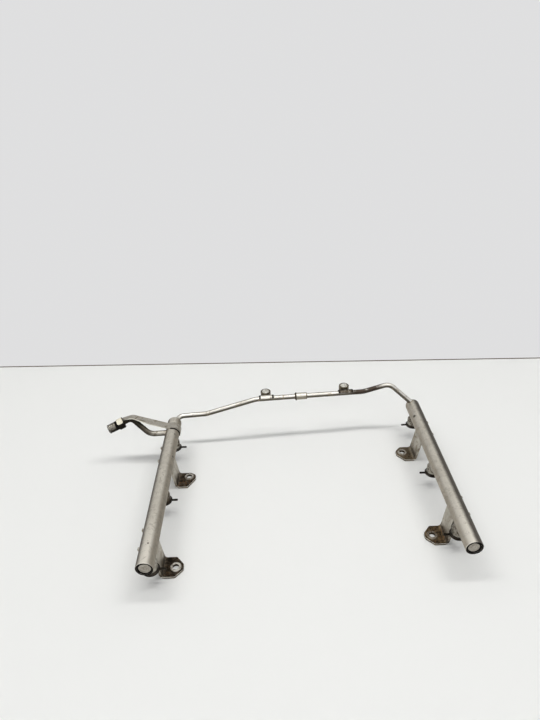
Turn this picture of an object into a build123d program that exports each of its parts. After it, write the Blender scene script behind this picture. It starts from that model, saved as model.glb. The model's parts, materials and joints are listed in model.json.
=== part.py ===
from build123d import *
from math import cos, radians, sin
import os

os.makedirs("parts", exist_ok=True)

# ---------------------------------------------------------------- driving dimensions, mm
# Frame: X across the engine, Y along the rails away from their plugged ends, Z up.
# The feet stand on Z = 0 and the frame's origin lies under the middle of the whole rail.
mid_x = 43.464                # plane halfway between the two rail tubes
near_y = -169.025             # plugged end of the left rail tube
axis_z = 54.5                 # height of the rail tube axes above the feet's underside

rail_spacing = 393.5          # from one rail tube axis to the other
rail_r = 11.0                 # rail tube outside radius
rail_wall = 2.0
rail_dome = 6.0               # rounding of the drawn, closed end
rail_offset = {"left": 0.0, "right": 10.8}      # the right rail starts this much further on
plug_recess = 1.2
plug_depth = 8.0
plug_wall = 1.6

cup_pitch = 118.0             # from injector to injector
cup_count = 3                 # injectors on each rail
cup_first = {"left": 24.7, "right": 49.3}       # first injector from the plugged end
rail_tail = {"left": 30.3, "right": 18.2}       # closed end beyond the last injector
cup_neck_r = 4.8
cup_bore_r = 7.0
cup_wall = 1.7
cup_rim_r = 11.0
cup_rim_drop = 31.0           # rail axis to the mouth of the cup
cup_neck_drop = 14.4          # rail axis to the foot of the neck
cup_shoulder_drop = 18.8      # where the cup's straight bore begins
cup_shoulder_round = 3.4
cup_feed_r = 2.0
tab_reach = 19.0              # locating tab of the cup, from the cup's axis
tab_width = 2.8
tab_thick = 1.5

sheet = 3.0                   # pressed sheet of the four brackets
bracket_at = {"left": (47.0, 210.0), "right": (71.0, 236.5)}    # middle of the claws
foot_shift = {"left": (-2.5, -3.0), "right": (-2.5, 1.0)}       # middle of the foot from there
bracket_width = 31.0
claw_gap = 30.0               # between the middles of the two claws
claw_thick = 2.5
claw_deep = 3.0
leg_top_in = 1.6              # middle of the leg's sheet, inward of the rail axis, at the top
leg_foot_in = 9.4             # the same where it turns into the foot
leg_bend = 4.0                # inside radius of that turn
cup_relief = 1.5              # space left round the rim of the cup beside the near leg
foot_reach = 35.8             # from the rail axis to the tip of the foot
foot_hole_in = 25.8           # from the rail axis to the bolt hole
foot_hole_r = 4.2
foot_boss_r = 7.3
foot_boss_high = 0.7
hole_shift = (-3.0, 4.0)      # bolt hole from the middle of the near and of the far claws

pipe_r = 4.0                  # crossover pipe
pipe_wall = 1.0
sleeve_r = 5.7
sleeve_length = 19.5
cross_root = (1.4, -8.0, 1.5)           # corner points: first three from the left rail's axis,
cross_elbow = (7.0, 8.8, 3.2)           # next three from the middle plane, last two from the
cross_climb = (50.75, 10.2, 4.6)        # right rail's axis; then beyond the left rail's closed
cross_level = (-63.0, 15.7, 26.0)       # end (the last: the right rail's) and above the axes
cross_union = (10.7, 20.5, 25.6)
cross_dip = (115.0, 27.4, 25.0)
cross_hump = (-38.25, 30.3, 36.0)
cross_last = (-0.4, -8.3, 5.0)
cross_left_bends = [11.0, 40.0, 40.0]
cross_right_bends = [40.0, 18.0]

inlet_r = 4.25                # inlet tube
inlet_wall = 1.0
inlet_root = (-6.0, -1.0, 3.5)          # corner points from the left rail's axis and from the
inlet_elbow = (-34.25, -3.0, 4.0)       # near edge of the strap
inlet_top = (-63.25, 12.3, 24.6)
inlet_tip = (-98.05, -0.1, 13.4)
inlet_bends = [20.0, 10.0]

eyelet_r = 8.25
eyelet_hole_r = 5.5
eyelet_high = 12.0
eyelet_top = 31.0             # above the rail axes
eyelet_x = (-46.0, 85.2)      # from the plane midway between the rails
clip_sheet = 1.5
clip_length = 24.0

strap_sheet = 1.6
strap_width = 13.5
strap_bend = 12.0             # where it turns down along the inlet tube
strap_taper = 7.0             # how far the edge nearest the plug is drawn in at the end
strap_back = 34.0             # closed end of the left rail back to the strap's nearer edge

hex_flats = 17.0
hex_long = 9.0
nose_r = 7.3
nose_long = 16.5
mouth_r = 5.2
mouth_deep = 7.5

slip = 0.1                    # radial clearance of every joint that is brazed or crimped

rail_x = {"left": mid_x - rail_spacing / 2, "right": mid_x + rail_spacing / 2}
rail_length = {side: cup_first[side] + (cup_count - 1) * cup_pitch + rail_tail[side] for side in rail_tail}
strap_near = rail_length["left"] - strap_back
rail_y = {side: near_y + rail_offset[side] for side in ("left", "right")}
inward = {"left": 1, "right": -1}
bore_r = rail_r - rail_wall


def at(x, y, z):
    """A point given from the middle plane, the left plugged end and the rail axes."""
    return Vector(mid_x + x, near_y + y, axis_z + z)


def upright(x, y, z):
    """Upright plane square to the rails: local x across the engine, local y up."""
    return Plane((x, y, z), x_dir=(1, 0, 0), z_dir=(0, -1, 0))


# Corner points of the crossover pipe: out of the left dome, up to the level run that
# crosses the engine, up over a hump and down into the right rail near its closed end.
left_x = -rail_spacing / 2
left_end, right_end = rail_length["left"], rail_offset["right"] + rail_length["right"]


def from_left(point, start):
    """A point given from the left rail's axis and from a distance along it."""
    return at(left_x + point[0], start + point[1], point[2])


def from_middle(point):
    return at(point[0], left_end + point[1], point[2])


cross_left = [from_left(cross_root, left_end), from_left(cross_elbow, left_end),
              from_left(cross_climb, left_end), from_middle(cross_level), from_middle(cross_union)]
cross_right = [from_middle(cross_union), from_middle(cross_dip),
               at(cross_hump[0] - left_x, left_end + cross_hump[1], cross_hump[2]),
               at(cross_last[0] - left_x, right_end + cross_last[1], cross_last[2])]
cross_way = (cross_right[1] - cross_right[0]).normalized()

# Corner points of the inlet tube: out of the side of the left rail, up, then over and down.
inlet_points = [from_left(point, strap_near) for point in (inlet_root, inlet_elbow, inlet_top, inlet_tip)]
inlet_way = (inlet_points[3] - inlet_points[2]).normalized()
inlet_corner = inlet_points[2]
inlet_end = (inlet_points[3] - inlet_points[2]).length
hex_back = inlet_end - nose_long - hex_long

# ---------------------------------------------------------------- rail tubes
# Each rail is a drawn steel tube: closed and rounded at the far end, open at the near end,
# with a feed hole over each injector and a hole for each pipe brazed into it.
for side in ("left", "right"):
    x, y, length = rail_x[side], rail_y[side], rail_length[side]
    with BuildPart() as rail_tube:
        with BuildSketch(Plane((x, y, axis_z))):
            with BuildLine():
                Polyline((0, length), (rail_r - rail_dome, length))
                RadiusArc((rail_r - rail_dome, length), (rail_r, length - rail_dome), rail_dome)
                Polyline((rail_r, length - rail_dome), (rail_r, 0), (bore_r, 0), (bore_r, length - rail_dome))
                RadiusArc((bore_r, length - rail_dome), (rail_r - rail_dome, length - rail_wall),
                          -(rail_dome - rail_wall))
                Polyline((rail_r - rail_dome, length - rail_wall), (0, length - rail_wall), (0, length))
            make_face()
        revolve(axis=Axis((x, y, axis_z), (0, 1, 0)))
        mouth = rail_tube.edges().filter_by(GeomType.CIRCLE).group_by(Axis.Y)[0]
        chamfer(mouth.sort_by(SortBy.RADIUS)[-1:], 0.5)
        for k in range(cup_count):
            with Locations(Location((x, y + cup_first[side] + k * cup_pitch, axis_z))):
                Cylinder(cup_feed_r, rail_r + 5, align=(Align.CENTER, Align.CENTER, Align.MAX),
                         mode=Mode.SUBTRACT)
        pipe_ends = [(cross_left[0], cross_left[1], pipe_r)] if side == "left" else [
            (cross_right[3], cross_right[2], pipe_r)]
        if side == "left":
            pipe_ends.append((inlet_points[0], inlet_points[1], inlet_r))
        for inner, outer, r in pipe_ends:
            with BuildSketch(Plane(inner, z_dir=(outer - inner).normalized())):
                Circle(r + slip)
            extrude(amount=20, mode=Mode.SUBTRACT)
    rail_tube.part.label = f"{side}_rail_tube"
    export_step(rail_tube.part, f"parts/{side}_rail_tube.step")

# ---------------------------------------------------------------- end plugs
# A deep-drawn cup pressed into the open end, its flat face a little below the tube's rim.
plug_r = bore_r - 0.05
for side in ("left", "right"):
    x, y = rail_x[side], rail_y[side]
    with BuildPart() as end_plug:
        with BuildSketch(Plane((x, y + plug_recess, axis_z))):
            with BuildLine():
                Polyline((0, 0), (plug_r - plug_wall, 0))
                RadiusArc((plug_r - plug_wall, 0), (plug_r, plug_wall), -plug_wall)
                Polyline((plug_r, plug_wall), (plug_r, plug_depth), (plug_r - plug_wall, plug_depth),
                         (plug_r - plug_wall, plug_wall), (0, plug_wall), (0, 0))
            make_face()
        revolve(axis=Axis((x, y, axis_z), (0, 1, 0)))
    end_plug.part.label = f"{side}_end_plug"
    export_step(end_plug.part, f"parts/{side}_end_plug.step")

# ---------------------------------------------------------------- injector cups
# Deep-drawn sheet cup, mouth down: a narrow neck saddled to the underside of the rail, a
# rounded shoulder, a straight bore for the injector's seal and a flared rim. A thin tab
# stands out of the rim towards the engine's middle.
cup_r = cup_bore_r + cup_wall
rim_z = -cup_rim_drop
flare = cup_rim_r - cup_r
for side in ("left", "right"):
    for k in range(cup_count):
        x, y = rail_x[side], rail_y[side] + cup_first[side] + k * cup_pitch
        with BuildPart() as cup:
            with BuildSketch(upright(x, y, axis_z)):
                with BuildLine():
                    FilletPolyline((cup_feed_r, -rail_r + 3.0), (cup_neck_r, -rail_r + 3.0),
                                   (cup_neck_r, -cup_neck_drop), (cup_r, 1.8 - cup_shoulder_drop),
                                   (cup_r, rim_z + flare + 1.4), radius=[0, 0, cup_shoulder_round])
                    RadiusArc((cup_r, rim_z + flare + 1.4), (cup_rim_r, rim_z + 1.4), -flare)
                    Polyline((cup_rim_r, rim_z + 1.4), (cup_rim_r, rim_z), (cup_rim_r - 1.2, rim_z))
                    RadiusArc((cup_rim_r - 1.2, rim_z), (cup_bore_r, rim_z + flare + 1.2), flare + 1.5)
                    Polyline((cup_bore_r, rim_z + flare + 1.2), (cup_bore_r, -cup_shoulder_drop - 0.4),
                             (cup_feed_r, -cup_neck_drop - 1.6), (cup_feed_r, -rail_r + 3.0))
                make_face()
            revolve(axis=Axis((x, y, axis_z), (0, 0, 1)))
            with BuildSketch(Plane((x, y, axis_z + rim_z + 0.1))):
                with BuildLine():
                    Polyline((inward[side] * (cup_rim_r - 1.0), -tab_width / 2),
                             (inward[side] * tab_reach, -tab_width / 2),
                             (inward[side] * tab_reach, tab_width / 2),
                             (inward[side] * (cup_rim_r - 1.0), tab_width / 2), close=True)
                make_face()
            extrude(amount=tab_thick)
            with BuildSketch(upright(x, y - 20, axis_z)):
                Circle(rail_r + 0.04)
            extrude(amount=-40, mode=Mode.SUBTRACT)
            tip = cup.edges().filter_by(Axis.Z).sort_by(Axis.X)
            fillet(tip[-2:] if side == "left" else tip[:2], 1.2)
        cup.part.label = f"{side}_injector_cup_{k + 1}"
        export_step(cup.part, f"parts/{side}_injector_cup_{k + 1}.step")

# ---------------------------------------------------------------- foot brackets
# One pressing each: a leg that drops past the inner side of the rail, a foot turned inward
# from it with a coined boss round the bolt hole, and two claws that reach under the rail
# and up its outer side. The near foot is a tongue with both corners cut, the far foot is
# cut back on its near side only.
half = bracket_width / 2
for side in ("left", "right"):
    for place, name in enumerate((f"{side}_near_foot_bracket", f"{side}_far_foot_bracket")):
        s = inward[side]
        x, y = rail_x[side], rail_y[side] + bracket_at[side][place]
        mid_foot, hole_y = y + foot_shift[side][place], y + hole_shift[place]
        with BuildPart() as bracket:
            # Leg, bend and foot as one folded strip.
            with BuildSketch(upright(x, y + bracket_width, 0)):
                with BuildLine():
                    FilletPolyline((s * leg_top_in, axis_z - 8.0), (s * leg_foot_in, sheet / 2),
                                   (s * foot_reach, sheet / 2), radius=leg_bend + sheet / 2)
                trace(line_width=sheet)
            extrude(amount=2 * bracket_width)
            # Side edges of the leg, from the claws down to the foot.
            top_half, low = claw_gap / 2 + claw_thick / 2, mid_foot - y
            with BuildSketch(Plane((x, y, 0), x_dir=(0, 1, 0), z_dir=(1, 0, 0))):
                with BuildLine():
                    FilletPolyline((-top_half, axis_z), (-top_half, axis_z - 16.0), (low - half, 12.0),
                                   (low - half, -1), (low + half, -1), (low + half, 12.0),
                                   (top_half, axis_z - 16.0), (top_half, axis_z),
                                   radius=[6.0, 6.0, 0, 0, 6.0, 6.0], close=False)
                    Line((top_half, axis_z), (-top_half, axis_z))
                make_face()
            extrude(amount=80, both=True, mode=Mode.INTERSECT)
            # Outline of the foot.
            tip = hole_y - y - foot_shift[side][place]
            if place == 0:
                outline = [(26, -20), (26, 12.5), (half, 12.5), (half, foot_hole_in), (tip + 4.2, foot_reach),
                           (tip - 4.2, foot_reach), (-half, foot_hole_in), (-half, 12.5), (-26, 12.5),
                           (-26, -20)]
                rounds = [0, 0, 2.0, 5.0, 5.0, 2.0, 0, 0]
            else:
                outline = [(26, -20), (26, 12.5), (half, 12.5), (half, foot_hole_in + 2.0),
                           (tip + 3.5, foot_reach), (tip - 5.5, foot_reach), (-half, foot_hole_in - 0.6),
                           (-half, 12.5), (-26, 12.5), (-26, -20)]
                rounds = [0, 0, 5.0, 6.0, 6.0, 2.0, 0, 0]
            with BuildSketch(Plane((x, mid_foot, -1))):
                with BuildLine():
                    FilletPolyline([(s * b, a) for a, b in outline], radius=rounds)
                    Line((s * outline[-1][1], outline[-1][0]), (s * outline[0][1], outline[0][0]))
                make_face()
            extrude(amount=axis_z + 20, mode=Mode.INTERSECT)
            # Coined boss and bolt hole.
            with Locations((x + s * foot_hole_in, hole_y, sheet)):
                Cone(foot_boss_r, foot_boss_r - 0.6, foot_boss_high,
                     align=(Align.CENTER, Align.CENTER, Align.MIN))
            with Locations((x + s * foot_hole_in, hole_y, 0)):
                Cylinder(foot_hole_r, 20, mode=Mode.SUBTRACT)
            # The near leg is scalloped round the rim and the neck of the first cup.
            if place == 0:
                for r, top, deep in ((cup_rim_r, cup_neck_drop + 0.1, 26.0), (cup_neck_r, 5.0, 12.0)):
                    with Locations((x, rail_y[side] + cup_first[side], axis_z - top)):
                        Cylinder(r + cup_relief / 1.5, deep, mode=Mode.SUBTRACT,
                                 align=(Align.CENTER, Align.CENTER, Align.MAX))
            # Claws: sheet rings from the leg round the lower outer quarter of the rail.
            for end in (-1, 1):
                with BuildSketch(upright(x, y + end * claw_gap / 2 + claw_thick / 2, axis_z)):
                    Circle(rail_r + claw_deep)
                    with Locations((0, 20)):
                        Rectangle(60, 40, mode=Mode.SUBTRACT)
                    with Locations((s * (leg_top_in + 2.4 + 20), 0)):
                        Rectangle(40, 60, mode=Mode.SUBTRACT)
                extrude(amount=claw_thick)
            # The rail lies in the claws and on top of the leg; the claw tips are rounded.
            with BuildSketch(upright(x, y - 30, axis_z)):
                Circle(rail_r + 0.04)
            extrude(amount=-60, mode=Mode.SUBTRACT)
            claw_tips = bracket.edges().filter_by(Axis.Y).group_by(Axis.Z)[-1]
            fillet(claw_tips.sort_by(Axis.X)[:2] if side == "left" else claw_tips.sort_by(Axis.X)[-2:], 1.5)
        bracket.part.label = name
        export_step(bracket.part, f"parts/{name}.step")

# ---------------------------------------------------------------- crossover pipes
# Thin bent tube in two halves that meet inside the union sleeve.
for name, points, bends, cut in (("crossover_pipe_left", cross_left, cross_left_bends, -1),
                                 ("crossover_pipe_right", cross_right, cross_right_bends, 0)):
    ends = list(points)
    if cut:
        ends[-1] = points[-1] - cross_way * 0.25
    else:
        ends[0] = points[0] + cross_way * 0.25
    with BuildPart() as pipe:
        with BuildLine() as run:
            FilletPolyline(*ends, radius=bends)
        with BuildSketch(Plane(ends[0], z_dir=(ends[1] - ends[0]).normalized())):
            Circle(pipe_r)
            Circle(pipe_r - pipe_wall, mode=Mode.SUBTRACT)
        sweep(path=run.wires()[0])
    pipe.part.label = name
    export_step(pipe.part, f"parts/{name}.step")

# ---------------------------------------------------------------- union sleeve
# Turned sleeve over the joint, with a narrow collar at its left end and chamfered rims.
with BuildPart() as union_sleeve:
    with BuildSketch(Plane(cross_right[0] - cross_way * sleeve_length / 2, z_dir=cross_way)):
        Circle(sleeve_r)
        Circle(pipe_r + slip, mode=Mode.SUBTRACT)
    extrude(amount=sleeve_length)
    chamfer(union_sleeve.edges().filter_by(GeomType.CIRCLE).group_by(SortBy.RADIUS)[-1], 0.5)
    with BuildSketch(Plane(cross_right[0] - cross_way * (sleeve_length / 2 - 1.0), z_dir=cross_way)):
        Circle(sleeve_r + 0.8)
        Circle(sleeve_r - 0.5, mode=Mode.SUBTRACT)
    extrude(amount=2.0)
union_sleeve.part.label = "crossover_union_sleeve"
export_step(union_sleeve.part, "parts/crossover_union_sleeve.step")

# ---------------------------------------------------------------- pipe clips and eyelets
# Each clip is a sheet saddle folded over the pipe with a flat back that drops behind it.
# A tube eyelet for an upright bolt is welded to that back.
level_start, level_end = cross_left[3], cross_right[1]
across = Vector(-cross_way.Y, cross_way.X, 0).normalized()
for side, dx in zip(("left", "right"), eyelet_x):
    share = (mid_x + dx - level_start.X) / (level_end.X - level_start.X)
    on_pipe = level_start + (level_end - level_start) * share
    if side == "left":
        share = (mid_x + dx - level_start.X) / (cross_left[4].X - level_start.X)
        on_pipe = level_start + (cross_left[4] - level_start) * share
        way = (cross_left[4] - level_start).normalized()
    else:
        share = (mid_x + dx - cross_right[0].X) / (level_end.X - cross_right[0].X)
        on_pipe = cross_right[0] + (level_end - cross_right[0]) * share
        way = cross_way
    mean_r = pipe_r + slip + clip_sheet / 2
    with BuildPart() as clip:
        # local x: away behind the pipe, local y: up
        with BuildSketch(Plane(on_pipe - way * clip_length / 2, x_dir=across, z_dir=way)) as fold:
            with BuildLine():
                CenterArc((0, 0), mean_r, 0, 150)
                Line((mean_r, 0), (mean_r, -7.0))
            trace(line_width=clip_sheet)
        extrude(amount=clip_length)
        back = clip.edges().filter_by(lambda e: abs((e % 0.5).dot(across)) > 0.99)
        fillet(back.group_by(Axis.Z)[0], 2.5)
    clip.part.label = f"{side}_pipe_clip"
    export_step(clip.part, f"parts/{side}_pipe_clip.step")

    centre = on_pipe + across * (mean_r + clip_sheet / 2 + eyelet_r + 0.05)
    with BuildPart() as eyelet:
        with BuildSketch(Plane((centre.X, centre.Y, axis_z + eyelet_top - eyelet_high))):
            Circle(eyelet_r)
            Circle(eyelet_hole_r, mode=Mode.SUBTRACT)
        extrude(amount=eyelet_high)
        chamfer(eyelet.edges().filter_by(GeomType.CIRCLE), 0.4)
    eyelet.part.label = f"{side}_eyelet"
    export_step(eyelet.part, f"parts/{side}_eyelet.step")

# ---------------------------------------------------------------- inlet tube
with BuildPart() as inlet_tube:
    tube_ends = inlet_points[:3] + [inlet_corner + inlet_way * (inlet_end - mouth_deep - 0.1)]
    with BuildLine() as inlet_run:
        FilletPolyline(*tube_ends, radius=inlet_bends)
    with BuildSketch(Plane(tube_ends[0], z_dir=(tube_ends[1] - tube_ends[0]).normalized())):
        Circle(inlet_r)
        Circle(inlet_r - inlet_wall, mode=Mode.SUBTRACT)
    sweep(path=inlet_run.wires()[0])
inlet_tube.part.label = "inlet_tube"
export_step(inlet_tube.part, "parts/inlet_tube.step")

# ---------------------------------------------------------------- inlet hexagon and nose
# The hexagon sits behind the round nose on the tube; one flat faces up.
hex_plane = Plane(inlet_corner + inlet_way * hex_back, z_dir=inlet_way,
                  x_dir=Vector(0, 0, 1).cross(inlet_way).normalized())
with BuildPart() as inlet_hexagon:
    with BuildSketch(hex_plane):
        RegularPolygon(hex_flats / 2, 6, major_radius=False, rotation=30)
        Circle(inlet_r + slip, mode=Mode.SUBTRACT)
    extrude(amount=hex_long)
    # Turned chamfer on both ends of the hexagon.
    with BuildSketch(hex_plane) as turned:
        Circle(hex_flats / 2 + 0.55)
    extrude(amount=hex_long, taper=-30, mode=Mode.INTERSECT)
    with BuildSketch(hex_plane.offset(hex_long)):
        Circle(hex_flats / 2 + 0.55)
    extrude(amount=-hex_long, taper=-30, mode=Mode.INTERSECT)
inlet_hexagon.part.label = "inlet_hexagon"
export_step(inlet_hexagon.part, "parts/inlet_hexagon.step")

with BuildPart() as inlet_nose:
    with BuildSketch(hex_plane.offset(hex_long + 0.02)):
        Circle(nose_r)
        Circle(inlet_r + slip, mode=Mode.SUBTRACT)
    extrude(amount=nose_long)
    with BuildSketch(hex_plane.offset(hex_long + nose_long + 0.02)):
        Circle(mouth_r)
    extrude(amount=-mouth_deep, mode=Mode.SUBTRACT)
    rims = inlet_nose.edges().filter_by(GeomType.CIRCLE).sort_by(
        lambda e: (e.arc_center - inlet_corner).dot(inlet_way))
    chamfer(rims[-2:], 0.9)
    # Narrow turned groove behind the mouth.
    with BuildSketch(hex_plane.offset(hex_long + nose_long - 4.6)):
        Circle(nose_r + 1)
        Circle(nose_r - 0.7, mode=Mode.SUBTRACT)
    extrude(amount=1.4, mode=Mode.SUBTRACT)
inlet_nose.part.label = "inlet_nose"
export_step(inlet_nose.part, "parts/inlet_nose.step")

# ---------------------------------------------------------------- inlet support strap
# Sheet strap wrapped over the left rail, rising straight to a bend above the inlet tube and
# lying on the tube behind the hexagon, where the tube is let into it.
strap_mean = rail_r + 0.06 + strap_sheet / 2
tube_dir = Vector(inlet_way.X, 0, inlet_way.Z).normalized()
tube_up = Vector(tube_dir.Z, 0, -tube_dir.X)
on_tube = inlet_corner + tube_up * (inlet_r - 0.6 + strap_sheet / 2)
rx, rz = rail_x["left"], axis_z
strap_end_reach = hex_back + 2.5
end_pt = on_tube + inlet_way * strap_end_reach
apex_pt = on_tube - tube_dir * 4.4
leave = Vector(rx + strap_mean * cos(radians(105)), 0, rz + strap_mean * sin(radians(105)))
kink = leave + Vector(-sin(radians(105)), 0, cos(radians(105))) * 3.2
with BuildPart() as inlet_strap:
    with BuildSketch(upright(0, near_y + strap_near, 0)):
        with BuildLine():
            CenterArc((rx, rz), strap_mean, -20, 125)
            FilletPolyline((leave.X, leave.Z), (kink.X, kink.Z), (apex_pt.X, apex_pt.Z),
                           (end_pt.X, end_pt.Z), radius=[6.0, strap_bend])
        trace(line_width=strap_sheet)
    extrude(amount=-strap_width)
    # From halfway up its rise the strap narrows to a tongue that lies along the tube.
    full = kink + (apex_pt - kink) * 0.55
    with BuildSketch(Plane.XY):
        with BuildLine():
            Polyline((full.X, near_y + strap_near), (end_pt.X, near_y + strap_near + strap_taper),
                     (end_pt.X - 20, near_y + strap_near + strap_taper), (end_pt.X - 20, near_y + strap_near - 5),
                     (full.X, near_y + strap_near - 5), close=True)
        make_face()
    extrude(amount=200, mode=Mode.SUBTRACT)
    with BuildSketch(hex_plane.offset(-0.3)):
        Circle(20)
    extrude(amount=20, mode=Mode.SUBTRACT)
    corners = inlet_strap.edges().filter_by(
        lambda e: abs((e % 0.5).dot(tube_up)) > 0.9 and e.length < 1.3 * strap_sheet)
    fillet(corners.sort_by(Axis.X)[:2], 2.0)
    with BuildLine() as let_in:
        FilletPolyline(*tube_ends, radius=inlet_bends)
    with BuildSketch(Plane(tube_ends[0], z_dir=(tube_ends[1] - tube_ends[0]).normalized())):
        Circle(inlet_r + 0.08)
    sweep(path=let_in.wires()[0], mode=Mode.SUBTRACT)
inlet_strap.part.label = "inlet_support_strap"
export_step(inlet_strap.part, "parts/inlet_support_strap.step")
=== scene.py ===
import json
import math
import bpy
from mathutils import Matrix, Vector


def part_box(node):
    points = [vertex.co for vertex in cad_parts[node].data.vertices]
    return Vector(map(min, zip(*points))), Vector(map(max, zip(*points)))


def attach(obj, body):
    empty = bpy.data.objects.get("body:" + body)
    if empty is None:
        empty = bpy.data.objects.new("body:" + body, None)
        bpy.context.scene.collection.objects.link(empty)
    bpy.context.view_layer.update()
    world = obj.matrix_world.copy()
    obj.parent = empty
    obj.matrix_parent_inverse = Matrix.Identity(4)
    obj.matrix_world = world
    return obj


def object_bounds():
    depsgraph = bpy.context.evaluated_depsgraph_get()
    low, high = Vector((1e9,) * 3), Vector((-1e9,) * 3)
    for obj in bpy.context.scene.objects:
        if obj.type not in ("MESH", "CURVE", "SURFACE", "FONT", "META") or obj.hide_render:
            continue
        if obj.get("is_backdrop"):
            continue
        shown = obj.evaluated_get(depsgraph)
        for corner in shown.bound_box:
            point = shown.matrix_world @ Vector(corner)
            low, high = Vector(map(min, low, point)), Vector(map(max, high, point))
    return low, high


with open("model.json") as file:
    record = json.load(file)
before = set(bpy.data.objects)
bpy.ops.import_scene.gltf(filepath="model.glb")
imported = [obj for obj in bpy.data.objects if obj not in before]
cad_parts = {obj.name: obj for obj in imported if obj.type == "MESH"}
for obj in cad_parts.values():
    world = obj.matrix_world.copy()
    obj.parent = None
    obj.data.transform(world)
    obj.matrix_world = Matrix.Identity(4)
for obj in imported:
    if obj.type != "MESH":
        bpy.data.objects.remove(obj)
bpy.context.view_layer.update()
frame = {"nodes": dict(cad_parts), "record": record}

# ---------------------------------------------------------------- camera
# Held in the hand above the plugged ends, looking down along the rails and tipped a little
# to one side. Its angles are in radians.
eye_place = (-0.000381, -0.601939, 0.584154)
eye_turn, eye_down, eye_roll = -0.008, 0.527, -0.035
eye = bpy.data.objects.new("camera", bpy.data.cameras.new("camera"))
bpy.context.collection.objects.link(eye)
eye.data.lens, eye.data.sensor_width, eye.data.sensor_fit = 27.23, 36.0, "AUTO"
eye.data.clip_start, eye.data.clip_end = 0.01, 50.0
eye.matrix_world = (Matrix.Translation(eye_place) @ Matrix.Rotation(eye_turn, 4, "Z")
                    @ Matrix.Rotation(math.pi / 2 - eye_down, 4, "X") @ Matrix.Rotation(eye_roll, 4, "Z"))
bpy.context.scene.camera = eye
bpy.context.scene.view_settings.view_transform = "Standard"

# ---------------------------------------------------------------- table, wall and light
# White painted table against a white wall, with the dark joint between them, under a
# long ceiling strip, with a weaker one further forward. The wall is seen from its front only.
table_half, table_drop = 4.0, 1e-4      # the table's top lies a hair under the feet
wall_half, wall_high = 2.0, 2.2
wall_back, wall_slant = 0.392, 0.044    # how far back the wall stands, and how it runs off square
joint_heights, joint_stands_out = (1e-4, 0.0016), (0.002, 0.001)     # of its lower and upper edge
table_white, wall_white, joint_brown = (0.83, 0.83, 0.80), (0.74, 0.74, 0.745), (0.10, 0.075, 0.05)
lit_point = Vector((0, 0.05, 0.05))
room_light, room_seen = 0.37, 0.8       # the room's strength as a light and where it is looked at


def set_out(tree, kind, settings, given):
    """A node with its settings, and its inputs given as values or sockets, by name or as _number."""
    node = tree.nodes.new(kind)
    for key, value in (settings or {}).items():
        setattr(node, key, value)
    for key, value in given.items():
        socket = node.inputs[int(key[1:])] if key[0] == "_" else node.inputs[key.replace("_", " ")]
        if isinstance(value, bpy.types.NodeSocket):
            tree.links.new(value, socket)
        else:
            socket.default_value = value
    return node


def lay(tree, kind, settings=None, **given):
    """A shader node, as set_out makes it."""
    return set_out(tree, "ShaderNode" + kind, settings, given)


def work(tree, how, a, b=0.0, c=0.0):
    """One step of arithmetic on values that change over the surface."""
    return lay(tree, "Math", {"operation": how}, _0=a, _1=b, _2=c).outputs[0]


def only_looked_at(tree):
    """1 for rays that look at or mirror a surface, 0 for those that light others from it."""
    seen = lay(tree, "LightPath").outputs
    mirrored = work(tree, "MAXIMUM", seen["Is Camera Ray"], seen["Is Glossy Ray"])
    return work(tree, "MAXIMUM", mirrored, seen["Is Transmission Ray"])


def flat_paint(name, colour, front_only=False):
    """Matt paint. One that is seen from the front only shows its plain colour there."""
    paint = bpy.data.materials.new(name)
    paint.use_nodes = True
    tree = paint.node_tree
    body = tree.nodes["Principled BSDF"]
    body.inputs["Base Color"].default_value = (*colour, 1)
    body.inputs["Roughness"].default_value = 0.55
    body.inputs["Specular IOR Level"].default_value = 0.2
    if front_only:
        plain = lay(tree, "Emission", Color=(*colour, 1)).outputs["Emission"]
        front = lay(tree, "MixShader", Fac=only_looked_at(tree), _1=body.outputs["BSDF"], _2=plain)
        clear = lay(tree, "BsdfTransparent").outputs["BSDF"]
        from_behind = lay(tree, "NewGeometry").outputs["Backfacing"]
        shown = lay(tree, "MixShader", Fac=from_behind, _1=front.outputs["Shader"], _2=clear)
        tree.links.new(shown.outputs["Shader"], tree.nodes["Material Output"].inputs["Surface"])
    return paint


def panel(name, corners, paint):
    mesh = bpy.data.meshes.new(name)
    mesh.from_pydata(corners, [], [range(len(corners))])
    mesh.materials.append(paint)
    made = bpy.data.objects.new(name, mesh)
    bpy.context.collection.objects.link(made)
    made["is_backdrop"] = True


def wall_band(low, high, low_out=0.0, high_out=0.0):
    """Corners of a band right along the wall, whose edges may stand out from it."""
    return [(x, wall_back - wall_slant * x - out, z)
            for x, z, out in ((-wall_half, low, low_out), (wall_half, low, low_out),
                              (wall_half, high, high_out), (-wall_half, high, high_out))]


table_corners = [(x * table_half, y * table_half, -table_drop)
                 for x, y in ((-1, -1), (1, -1), (1, 1), (-1, 1))]
panel("table", table_corners, flat_paint("table_paint", table_white))
panel("wall", wall_band(0, wall_high), flat_paint("wall_paint", wall_white, front_only=True))
panel("table_joint", wall_band(*joint_heights, *joint_stands_out),
      flat_paint("joint_dirt", joint_brown, front_only=True))

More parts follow.
